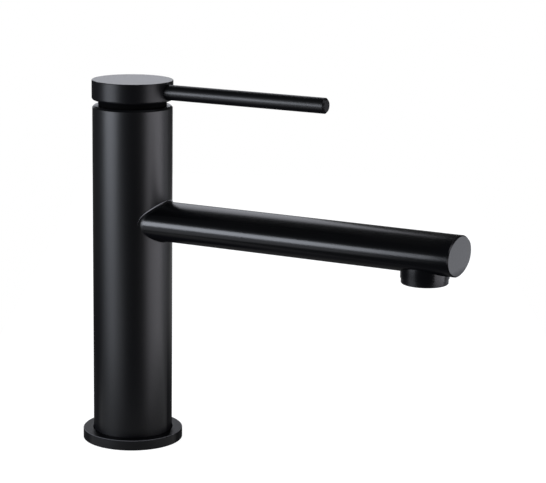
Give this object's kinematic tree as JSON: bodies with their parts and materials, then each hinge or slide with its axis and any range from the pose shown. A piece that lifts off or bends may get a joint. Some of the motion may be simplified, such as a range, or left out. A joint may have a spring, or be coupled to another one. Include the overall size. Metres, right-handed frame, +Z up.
{
  "type": "bathroom mixer faucet",
  "caption": "Single-lever basin mixer faucet: round column on a foot flange, flat cap with a thin pin lever that lifts and turns, and a straight oval spout with an aerator below its end.",
  "frame": {"origin": "centre of the foot on the deck plane, on the column's axis", "axes": "+Z up along the column, +X the way the spout and the lever point at rest, +Y to the right-hand rule"},
  "size_m": [0.2116, 0.0532, 0.1936],
  "materials": {
    "matte_black_coat": "matte black powder coat on brass",
    "black_plastic": "moulded black plastic",
    "brass": "turned brass",
    "ceramic": "lapped alumina ceramic",
    "white_plastic": "moulded white plastic",
    "grey_plastic": "moulded grey plastic",
    "steel": "stainless steel",
    "rubber": "moulded black rubber"
  },
  "bodies": {
    "root": {"base_flange": "matte_black_coat", "base_gasket": "rubber", "base_insert": "brass", "column": "matte_black_coat", "valve_core": "brass", "outlet_sleeve": "brass", "outlet_o_ring": "rubber", "cartridge_base": "white_plastic", "cartridge_seals": "rubber", "fixed_disc": "ceramic", "cartridge_housing": "white_plastic", "retaining_nut": "brass", "bonnet_ring": "black_plastic", "spout_tube": "matte_black_coat", "spout_end_cap": "matte_black_coat", "outlet_collar": "matte_black_coat", "aerator_housing": "matte_black_coat", "aerator_insert": "black_plastic", "aerator_screen": "steel", "aerator_washer": "rubber"},
    "rotor": {"stem_rotor": "grey_plastic", "stem_pivot_pin": "steel"},
    "handle": {"stem": "steel", "handle_cap": "matte_black_coat", "lever_rod": "matte_black_coat", "handle_grub_screw": "steel"},
    "disc": {"moving_disc": "ceramic", "disc_carrier": "grey_plastic"}
  },
  "joints": [
    {"name": "temperature_turn", "type": "hinge", "parent": "root", "child": "rotor", "pos_m": [0, 0, 0.168], "axis": [0, 0, 1], "range_deg": [-45, 45]},
    {"name": "lever_lift", "type": "hinge", "parent": "rotor", "child": "handle", "pos_m": [0, 0, 0.168], "axis": [0, -1, 0], "range_deg": [0, 20]},
    {"name": "disc_slide", "type": "slide", "parent": "rotor", "child": "disc", "axis": [1, 0, 0], "range_m": [0, 0.0042]}
  ],
  "couplings": [
    {"joint": "disc_slide", "follows": "lever_lift", "m_per_rad": 0.011758}
  ]
}
